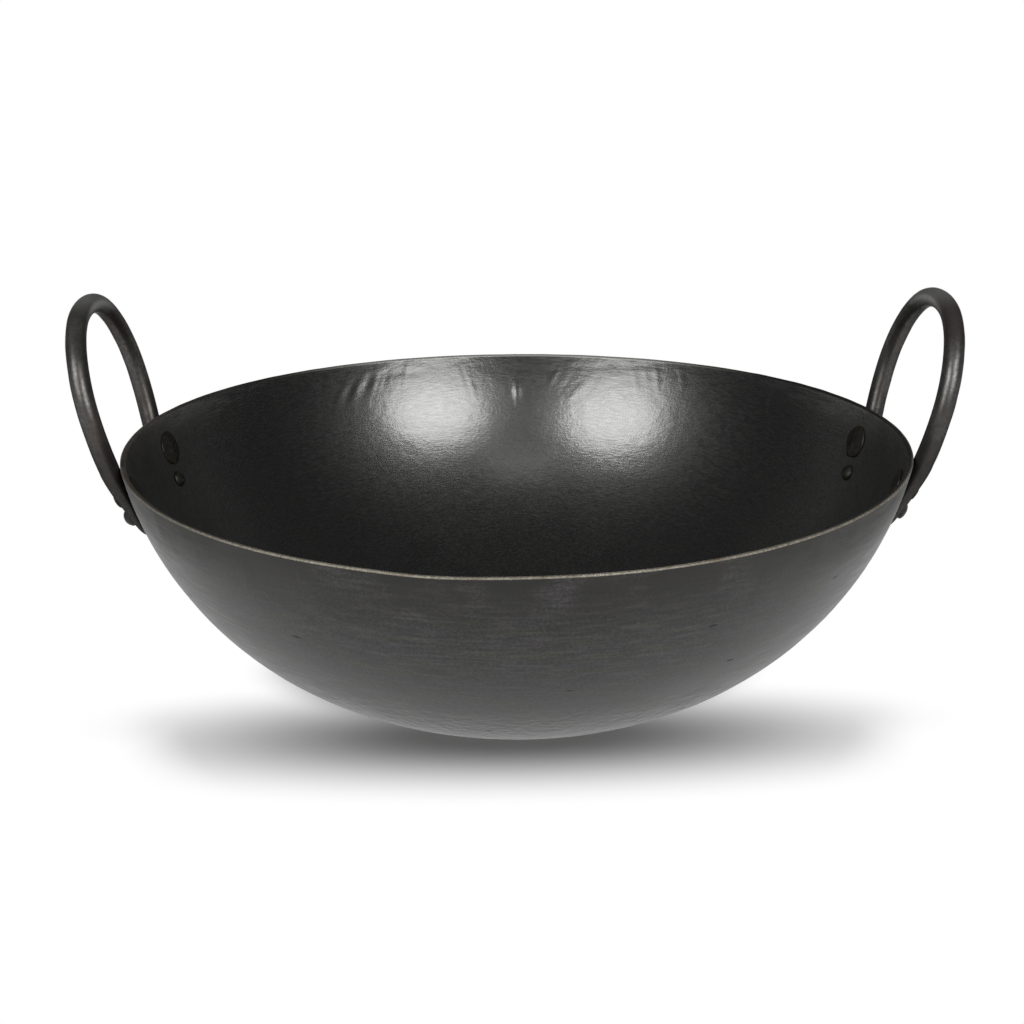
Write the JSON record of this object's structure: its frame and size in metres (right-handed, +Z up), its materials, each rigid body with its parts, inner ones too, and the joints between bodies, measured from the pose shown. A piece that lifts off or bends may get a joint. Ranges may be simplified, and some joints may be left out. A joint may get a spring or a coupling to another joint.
{
  "type": "kadai",
  "caption": "Round-bottomed iron kadai for frying and stewing: a deep hammered sheet bowl with a bare rim and upright bent bar loop handles, riveted through the wall.",
  "frame": {"origin": "middle of the flat of the base, on the surface that the kadai stands on", "axes": "+X through the two handles towards the right one, +Y away from the front, +Z up"},
  "size_m": [0.3532, 0.3198, 0.1696],
  "materials": {
    "bowl_iron": "seasoned hammered sheet iron, satin, worn bare along the rim",
    "handle_iron": "black forged bar, satin, rubbed along the grip",
    "rivet_iron": "hammered iron, satin"
  },
  "bodies": {
    "root": {"bowl": "bowl_iron", "handle_left": "handle_iron", "handle_right": "handle_iron", "upper_rivet_left_front": "rivet_iron", "upper_rivet_left_back": "rivet_iron", "upper_rivet_right_front": "rivet_iron", "upper_rivet_right_back": "rivet_iron", "lower_rivet_left_front": "rivet_iron", "lower_rivet_left_back": "rivet_iron", "lower_rivet_right_front": "rivet_iron", "lower_rivet_right_back": "rivet_iron"}
  },
  "joints": []
}
